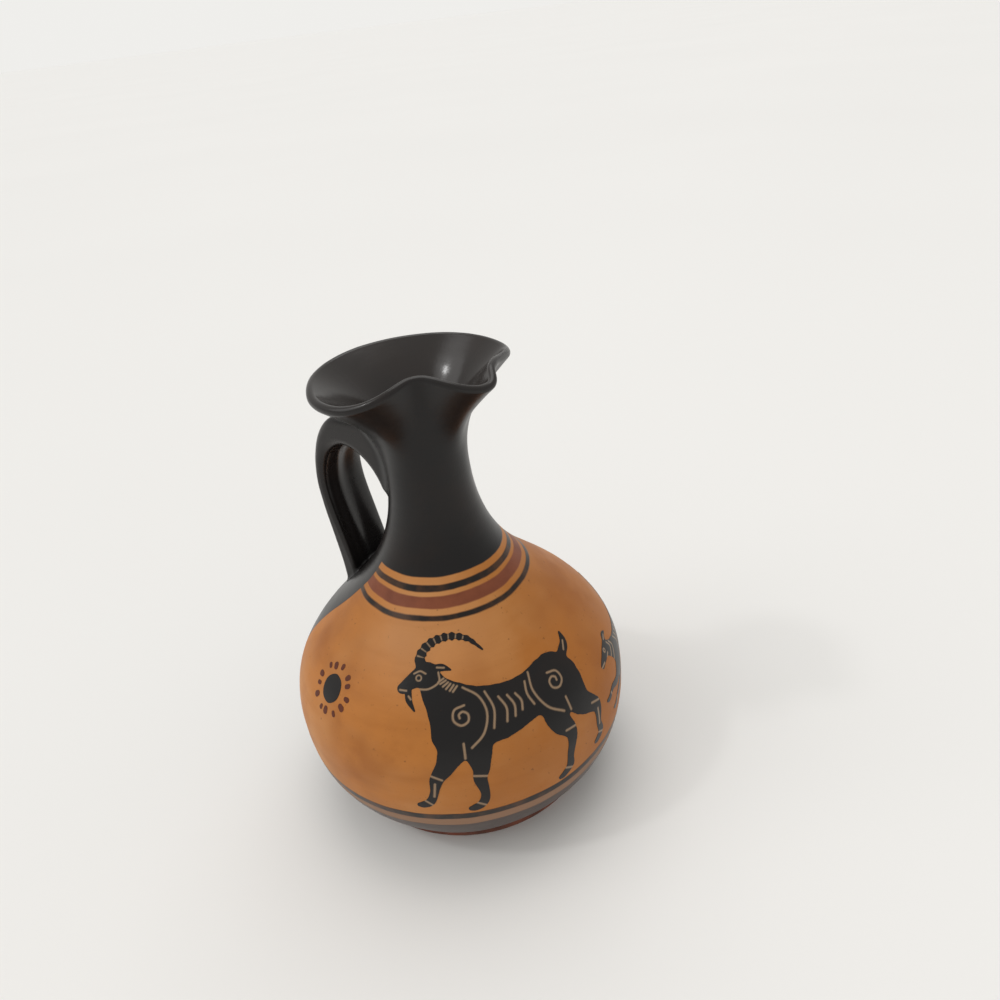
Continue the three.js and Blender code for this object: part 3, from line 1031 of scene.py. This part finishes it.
GOAT_PARTS = {
    "trunk": ([(-10.0, 20.6, 6.0), (-3.0, 19.8, 5.3), (4.0, 20.4, 4.4), (11.0, 20.8, 5.7)], 0.1),
    "neck": ([(-11.5, 22.6, 5.0), (-14.4, 26.6, 3.5), (-15.7, 30.0, 2.6)], 2.0),
    "head": ([(-16.2, 31.0, 2.6), (-19.3, 29.7, 1.95), (-22.4, 27.9, 1.3)], 1.0),
    "front_fore_leg": ([(-11.4, 16.6, 3.5), (-14.2, 11.6, 1.85), (-16.2, 8.6, 1.3), (-16.9, 5.4, 0.8),
                        (-17.8, 3.0, 0.9), (-19.2, 1.9, 0.85), (-19.9, 1.7, 0.6)], 1.0),
    "back_fore_leg": ([(-8.2, 16.2, 3.4), (-8.0, 10.8, 1.7), (-8.4, 8.0, 1.2), (-7.9, 4.6, 0.8),
                       (-8.4, 2.4, 0.9), (-9.8, 1.2, 0.85), (-10.5, 1.0, 0.6)], 1.0),
    "front_hind_leg": ([(9.0, 18.6, 4.0), (8.2, 13.4, 2.5), (10.0, 9.4, 1.3), (8.9, 4.9, 0.8),
                        (8.5, 2.4, 0.9), (7.1, 1.2, 0.85), (6.4, 1.0, 0.6)], 1.0),
    "back_hind_leg": ([(12.6, 19.4, 4.7), (14.2, 13.8, 2.7), (17.9, 10.0, 1.4), (17.6, 5.8, 0.8),
                       (18.0, 3.2, 0.9), (16.8, 2.0, 0.85), (16.1, 1.8, 0.6)], 1.0),
    "tail": ([(16.0, 24.2, 1.2), (18.2, 26.0, 1.0), (19.0, 28.4, 0.3)], 0.8),
    "ear": ([(-14.3, 31.8, 0.85), (-12.2, 31.5, 0.85), (-10.4, 30.6, 0.2)], 0.4),
    "beard": ([(-20.9, 26.9, 0.8), (-20.8, 25.0, 0.75), (-19.6, 22.7, 0.15)], 0.5),
    "chest_tuft": ([(-14.6, 19.0, 1.4), (-15.6, 16.8, 0.7), (-15.4, 15.4, 0.2)], 1.2),
}
GOAT_HORN = [(-17.3, 32.4, 1.4), (-17.3, 35.2, 1.3), (-14.4, 38.0, 1.15), (-9.4, 38.8, 0.95),
             (-4.6, 36.9, 0.7), (-1.8, 33.2, 0.2)]
RIDGE_SPACING = 1.9
RIDGE_HEIGHT = 0.2
SMOOTH_ROOT = 1.5
ROOT_FADE = 2.0
TIP_FADE = 8.0
RING_ROOT = 2.0
RING_TIP_SHARE = 0.8
RING_HALF_WIDTH = 0.15
RING_INSET = 0.35
GOAT_LINES = {
    "shoulder": [(-8.6, 26.2), (-5.8, 23.7), (-4.9, 20.2), (-6.3, 16.6), (-9.0, 14.4)],
    "shoulder_edge": [(-4.3, 24.2), (-3.4, 20.6), (-4.3, 17.0)],
    "shoulder_curl": curl((-9.8, 20.4), 2.3, 70, 1.35),
    "haunch": [(5.9, 24.6), (5.3, 20.8), (6.8, 16.8), (9.8, 14.2)],
    "haunch_edge": [(4.4, 23.2), (3.9, 20.8), (4.5, 18.4)],
    "haunch_curl": curl((10.6, 20.4), 2.3, 110, -1.35),
    "first_rib": [(-1.9, 22.4), (-1.0, 19.9), (-1.6, 17.4)],
    "second_rib": [(-0.1, 22.1), (0.7, 19.9), (0.2, 17.8)],
    "third_rib": [(1.6, 21.8), (2.3, 20.1), (1.9, 18.4)],
    "cheek": [(-13.3, 30.6), (-13.5, 28.4), (-16.0, 27.2), (-18.4, 27.4)],
    "mouth": [(-23.1, 27.6), (-21.4, 27.3)],
    "brow": [(-19.3, 31.2), (-17.7, 31.6), (-16.4, 30.8)],
    "front_fore_knee": [(-17.3, 9.5), (-15.2, 8.5)],
    "back_fore_knee": [(-9.6, 8.9), (-7.1, 8.4)],
    "front_hock": [(8.9, 10.5), (11.2, 10.2)],
    "back_hock": [(16.8, 11.3), (19.1, 10.5)],
    "front_fore_hoof": [(-18.8, 3.1), (-17.3, 1.9)],
    "back_fore_hoof": [(-9.5, 2.5), (-7.7, 1.3)],
    "front_hind_hoof": [(7.5, 2.5), (9.2, 1.3)],
    "back_hind_hoof": [(17.2, 3.3), (18.8, 2.3)],
    "fore_leg_edge": [(-10.5, 12.6), (-10.4, 15.4)],
    "hind_leg_edge": [(11.4, 13.6), (11.3, 16.4)],
    "inner_ear": [(-13.5, 31.8), (-11.8, 31.4)],
    "front_tendon": [(-16.6, 7.6), (-17.0, 4.4)],
    "back_tendon": [(18.1, 9.0), (17.8, 5.2)],
    "tail_hair": [(16.9, 24.6), (18.3, 26.4)],
}
GOAT_MANE = [(-12.3, 29.0), (-11.2, 27.7), (-9.6, 26.7)]
GOAT_BEARD = [(-20.9, 26.0), (-20.4, 24.2)]
GOAT_EYE = (-18.2, 30.0)
GOAT_EYE_RADIUS = 0.66

HOUND_PARTS = {
    "trunk": ([(-6.5, 13.4, 3.4), (0.5, 13.6, 2.5), (6.5, 13.4, 2.9)], 0.1),
    "neck": ([(-8.0, 14.8, 2.5), (-11.0, 17.6, 1.75)], 1.4),
    "head": ([(-11.4, 18.3, 1.75), (-14.0, 17.9, 1.2), (-16.8, 16.9, 0.75)], 0.8),
    "ear": ([(-11.0, 19.2, 0.75), (-9.3, 20.4, 0.7), (-7.7, 20.3, 0.15)], 0.4),
    "front_fore_leg": ([(-8.2, 11.6, 2.0), (-12.4, 9.6, 1.15), (-16.0, 10.0, 0.75), (-18.4, 8.8, 0.7),
                        (-19.6, 8.9, 0.45)], 0.9),
    "back_fore_leg": ([(-6.8, 11.0, 2.0), (-9.6, 7.2, 1.1), (-12.8, 5.6, 0.75), (-14.6, 3.9, 0.7),
                       (-15.8, 4.0, 0.45)], 0.9),
    "back_hind_leg": ([(8.2, 12.6, 2.9), (11.8, 9.6, 1.7), (15.4, 8.6, 0.9), (18.2, 5.2, 0.7),
                       (17.6, 4.0, 0.6), (16.5, 3.9, 0.4)], 0.9),
    "front_hind_leg": ([(6.4, 11.8, 2.7), (8.2, 7.6, 1.6), (11.6, 5.6, 0.85), (13.2, 2.8, 0.7),
                        (12.4, 1.9, 0.6), (11.4, 1.8, 0.4)], 0.9),
    "tail": ([(8.8, 15.2, 1.0), (12.6, 16.8, 0.6), (15.6, 19.8, 0.5), (17.9, 21.0, 0.4),
              (19.2, 20.1, 0.15)], 0.6),
}
HOUND_LINES = {
    "shoulder": [(-5.0, 16.0), (-3.6, 13.6), (-4.6, 11.2), (-6.6, 10.0)],
    "first_rib": [(-3.0, 15.4), (-2.1, 13.6), (-2.7, 11.9)],
    "second_rib": [(-1.2, 15.2), (-0.5, 13.6), (-0.9, 12.3)],
    "third_rib": [(0.5, 15.1), (1.1, 13.7), (0.8, 12.5)],
    "haunch": [(4.6, 15.6), (4.2, 13.4), (5.6, 11.0), (7.6, 9.8)],
    "haunch_curl": curl((7.6, 13.2), 1.3, 110, -1.2),
    "collar": [(-8.8, 17.9), (-8.0, 16.0), (-9.6, 14.2), (-10.6, 13.6)],
    "collar_edge": [(-10.0, 18.6), (-9.4, 16.9), (-10.7, 15.6), (-11.5, 15.3)],
    "mouth": [(-17.3, 16.7), (-15.4, 16.8)],
    "cheek": [(-12.0, 17.1), (-13.4, 16.6)],
    "front_paw": [(-17.3, 9.7), (-16.9, 8.7)],
    "back_paw": [(-13.6, 5.6), (-13.2, 4.2)],
    "inner_ear": [(-10.3, 19.8), (-8.9, 20.2)],
}
HOUND_EYE = (-12.9, 18.5)
HOUND_EYE_RADIUS = 0.45


def eye_ring(u, v, centre, radius):
    away = np.hypot(u - centre[0], v - centre[1])
    return np.abs(away - radius) - EYE_LINE_HALF_WIDTH


def goat_horn(u, v):
    """Distance to the ridged horn, and to the rings scratched between its ridges."""
    near, width, along, length = along_line(u, v, smooth_line(GOAT_HORN))
    fade = np.clip((along - SMOOTH_ROOT) / ROOT_FADE, 0, 1) * np.clip((length - along) / TIP_FADE, 0, 1)
    horn = near - width - RIDGE_HEIGHT * np.cos(tau * along / RIDGE_SPACING) * fade
    between = np.abs((along / RIDGE_SPACING) % 1 - 0.5) * RIDGE_SPACING
    rings = np.maximum(between - RING_HALF_WIDTH, near - width + RING_INSET)
    on_horn = (along > RING_ROOT) & (along < length * RING_TIP_SHARE)
    return horn, np.where(on_horn, rings, FAR)


def goat_shape(u, v):
    return joined(drawn_shape(u, v, GOAT_PARTS.values()), goat_horn(u, v)[0], 0.5)


def goat_scratches(u, v):
    lines = list(GOAT_LINES.values())
    lines += ticks(GOAT_MANE, length=1.5, lean=-105, count=6)
    lines += ticks(GOAT_BEARD, length=0.9, lean=20, count=3)
    scratch = np.minimum(scratched_lines(u, v, lines), goat_horn(u, v)[1])
    return np.minimum(scratch, eye_ring(u, v, GOAT_EYE, GOAT_EYE_RADIUS))


def hound_shape(u, v):
    return drawn_shape(u, v, HOUND_PARTS.values())


def hound_scratches(u, v):
    scratch = scratched_lines(u, v, HOUND_LINES.values())
    return np.minimum(scratch, eye_ring(u, v, HOUND_EYE, HOUND_EYE_RADIUS))


def body_outline():
    """Outside of the belly with its normals and, for each point, its latitude on a like sphere."""
    bowl, bowl_normals = outline_samples(bowl_curve(), BELLY_ROW_LENGTH)
    dome, dome_normals = outline_samples(dome_curve(), BELLY_ROW_LENGTH)
    points = np.vstack([bowl, dome[1:]])
    normals = np.vstack([bowl_normals, dome_normals[1:]])
    steps = np.hypot(*np.diff(points, axis=0).T)
    rise = np.cumsum(steps / (points[1:, 0] + points[:-1, 0]) * 2)
    rise = np.concatenate([[0], rise]) - rise[len(bowl) - 2]
    return points, normals, np.arcsin(np.tanh(rise))


outline_points, outline_normals, outline_latitudes = body_outline()


def wrapped(u, v, azimuth, height):
    """Points and normals on the belly for flat points about a place on it. Angles stay true."""
    start = np.interp(height, outline_points[:, 1], outline_latitudes)
    reach = np.maximum(np.hypot(u, v), 1e-6)
    arc = 2 * np.arctan(reach / (2 * BELLY_RADIUS))
    sine = np.cos(arc) * sin(start) + v / reach * np.sin(arc) * cos(start)
    latitude = np.arcsin(np.clip(sine, -1, 1))
    level = reach * cos(start) * np.cos(arc) - v * sin(start) * np.sin(arc)
    turn = azimuth + np.arctan2(u * np.sin(arc), level)
    columns = (*outline_points.T, *outline_normals.T)
    radius, z, out, up = [np.interp(latitude, outline_latitudes, column) for column in columns]
    points = np.stack([radius * np.cos(turn), radius * np.sin(turn), z], -1)
    normals = np.stack([out * np.cos(turn), out * np.sin(turn), up], -1)
    return points, normals


def cut_out(distance, us, vs):
    """Flat points and faces of the area where the distance is negative, and its edges."""
    inside = distance < 0
    points, index = [], {}

    def corner(i, j):
        if (i, j) not in index:
            index[i, j] = len(points)
            points.append((us[j], vs[i]))
        return index[i, j]

    def crossing(a, b):
        a, b = sorted((a, b))
        if (a, b) not in index:
            share = distance[a] / (distance[a] - distance[b])
            share = min(max(share, LEAST_CUT), 1 - LEAST_CUT)
            index[a, b] = len(points)
            points.append((toward(us[a[1]], us[b[1]], share), toward(vs[a[0]], vs[b[0]], share)))
        return index[a, b]

    faces, edges = [], []
    touched = inside[:-1, :-1] | inside[1:, :-1] | inside[:-1, 1:] | inside[1:, 1:]
    for i, j in zip(*np.nonzero(touched)):
        corners = [(i, j), (i, j + 1), (i + 1, j + 1), (i + 1, j)]
        face, leaving, entering = [], [], []
        for a, b in zip(corners, corners[1:] + corners[:1]):
            if inside[a]:
                face.append(corner(*a))
            if inside[a] != inside[b]:
                (leaving if inside[a] else entering).append(len(face))
                face.append(crossing(a, b))
        faces.append(face)
        for out in leaving:
            following = (out + 1) % len(face)
            edges.append((face[out], face[following]))
    return np.array(points), faces, edges


def painted_picture(name, shape, scratches, window, azimuth, height, material, scale=1.0, mirrored=False):
    """Closed coat of slip on the belly with the drawn shape, scratched through to the clay."""
    left, right, low, high = window
    us = np.arange(left, right, PICTURE_GRID)
    vs = np.arange(low, high, PICTURE_GRID)
    u, v = np.meshgrid(us, vs)
    brush = BRUSH_WAVER * np.sin(1.7 * u + 0.6 * v) * np.sin(1.3 * v - 0.8 * u)
    flat, faces, edges = cut_out(shape(u, v) + brush, us, vs)
    u, v = flat.T
    scratched = np.clip(0.5 - scratches(u, v) / PICTURE_GRID, 0, 1)
    side = -1 if mirrored else 1
    places, normals = wrapped(u * scale * side, v * scale, azimuth, height)
    top, bottom = [], []
    for place, normal, cut in zip(places, normals, scratched):
        place, normal = Vector(place), Vector(normal)
        ground = unevenness(place)
        top.append(place + normal * (ground + COAT - SCRATCH_DEPTH * cut))
        bottom.append(place + normal * (ground - COAT_ROOT))
    count = len(top)
    faces += [[index + count for index in reversed(face)] for face in faces]
    faces += [[b, a, a + count, b + count] for a, b in edges]
    if mirrored:
        faces = [face[::-1] for face in faces]
    piece = finish_piece(name, top + bottom, faces, material)
    mark(piece, "scratched", np.concatenate([scratched, np.zeros(count)]))
    piece.data.set_sharp_from_angle(angle=COAT_CORNER)


def unscratched(u, v):
    return np.full(u.shape, FAR)


# Rosette: a disc in a ring of uneven dots
ROSETTE_DISC = 3.2
ROSETTE_RING = 5.2
ROSETTE_DOTS = 13
DOT_SIZE = 0.6
DOT_HALF_LENGTH = 0.25


def rosette_disc(u, v):
    return np.hypot(u * 1.08, v) - ROSETTE_DISC


def rosette_dots(u, v):
    nearest = np.full(u.shape, FAR)
    for k in range(ROSETTE_DOTS):
        turn = tau * (k + 0.16 * sin(2.3 * k)) / ROSETTE_DOTS
        ring_radius = ROSETTE_RING + 0.25 * sin(4.1 * k + 1)
        size = DOT_SIZE + 0.12 * sin(3.3 * k)
        dot = []
        for away, half_width in ((-DOT_HALF_LENGTH, size * 0.9), (DOT_HALF_LENGTH, size)):
            reach = ring_radius + away
            dot.append((cos(turn) * reach, sin(turn) * reach, half_width))
        nearest = np.minimum(nearest, stroke(u, v, dot))
    return nearest


def build_pictures():
    painted_picture("goat_picture", goat_shape, goat_scratches, GOAT_WINDOW, GOAT_AZIMUTH,
                    PICTURE_HEIGHT, slip, scale=GOAT_SCALE)
    painted_picture("hound_picture", hound_shape, hound_scratches, HOUND_WINDOW, HOUND_AZIMUTH,
                    PICTURE_HEIGHT, slip)
    for side, mirrored in (("left", False), ("right", True)):
        azimuth = ROSETTE_AZIMUTH * (1 if mirrored else -1)
        for part, shape, material in (("disc", rosette_disc, slip), ("dots", rosette_dots, red_paint)):
            painted_picture(f"{side}_rosette_{part}", shape, unscratched, ROSETTE_WINDOW, azimuth,
                            ROSETTE_HEIGHT, material, mirrored=mirrored)


build_pictures()


# Camera at the photograph's viewpoint
CAMERA_AZIMUTH = radians(42)
CAMERA_DISTANCE = 154.7
CAMERA_HEIGHT = 156.5
CAMERA_YAW = radians(5.11)
CAMERA_PITCH = radians(29.97)
CAMERA_ROLL = radians(-7.0)
FOCAL_LENGTH_MM = 30.6


def build_camera():
    data = bpy.data.cameras.new("photo_view")
    data.lens = FOCAL_LENGTH_MM
    data.sensor_width = 36.0
    data.clip_start = 0.005
    data.clip_end = 100
    camera = bpy.data.objects.new("photo_view", data)
    bpy.context.scene.collection.objects.link(camera)
    heading = Matrix.Rotation(CAMERA_AZIMUTH - CAMERA_YAW, 4, "Z")
    tilt = Matrix.Rotation(pi / 2 - CAMERA_PITCH, 4, "X")
    roll = Matrix.Rotation(CAMERA_ROLL, 4, "Z")
    place = Matrix.Rotation(CAMERA_AZIMUTH, 3, "Z") @ Vector((0, -CAMERA_DISTANCE, CAMERA_HEIGHT)) * MM
    camera.matrix_world = Matrix.Translation(place) @ heading @ tilt @ roll
    bpy.context.scene.camera = camera


ROOM_LIGHT = 0.71
ROOM_SEEN = 0.985
DAYLIGHT = (1.0, 0.997, 0.99)


def soft_sun(name, azimuth, elevation, spread, strength):
    """Even light from a wide patch of the room at a direction, in degrees."""
    data = bpy.data.lights.new(name, "SUN")
    data.angle = radians(spread)
    data.energy = strength
    data.color = DAYLIGHT
    light = bpy.data.objects.new(name, data)
    bpy.context.scene.collection.objects.link(light)
    light.rotation_euler = (0, radians(90 - elevation), radians(azimuth))


def build_light():
    soft_sun("window_light", azimuth=-135, elevation=42, spread=44, strength=0.53)
    soft_sun("lamp_light", azimuth=-133, elevation=50, spread=5, strength=0.24)
    soft_sun("ceiling_light", azimuth=116, elevation=66, spread=50, strength=0.85)
    world = bpy.data.worlds.new("soft_room")
    world.use_nodes = True
    tree = world.node_tree
    sky = tree.nodes["Background"]
    sky.inputs["Color"].default_value = ROOM_WHITE
    path = tree.nodes.new("ShaderNodeLightPath")
    seen = tree.nodes.new("ShaderNodeMapRange")
    seen.inputs["To Min"].default_value = ROOM_LIGHT
    seen.inputs["To Max"].default_value = ROOM_SEEN
    tree.links.new(path.outputs["Is Camera Ray"], seen.inputs["Value"])
    tree.links.new(seen.outputs["Result"], sky.inputs["Strength"])
    bpy.context.scene.world = world


FLOOR_SIZE_M = 60


def build_floor():
    bpy.ops.mesh.primitive_plane_add(size=FLOOR_SIZE_M)
    floor = bpy.context.object
    floor.name = "pale_floor"
    floor.data.materials.append(floor_paper())


build_camera()
build_light()
build_floor()
bpy.context.scene.view_settings.view_transform = "Standard"
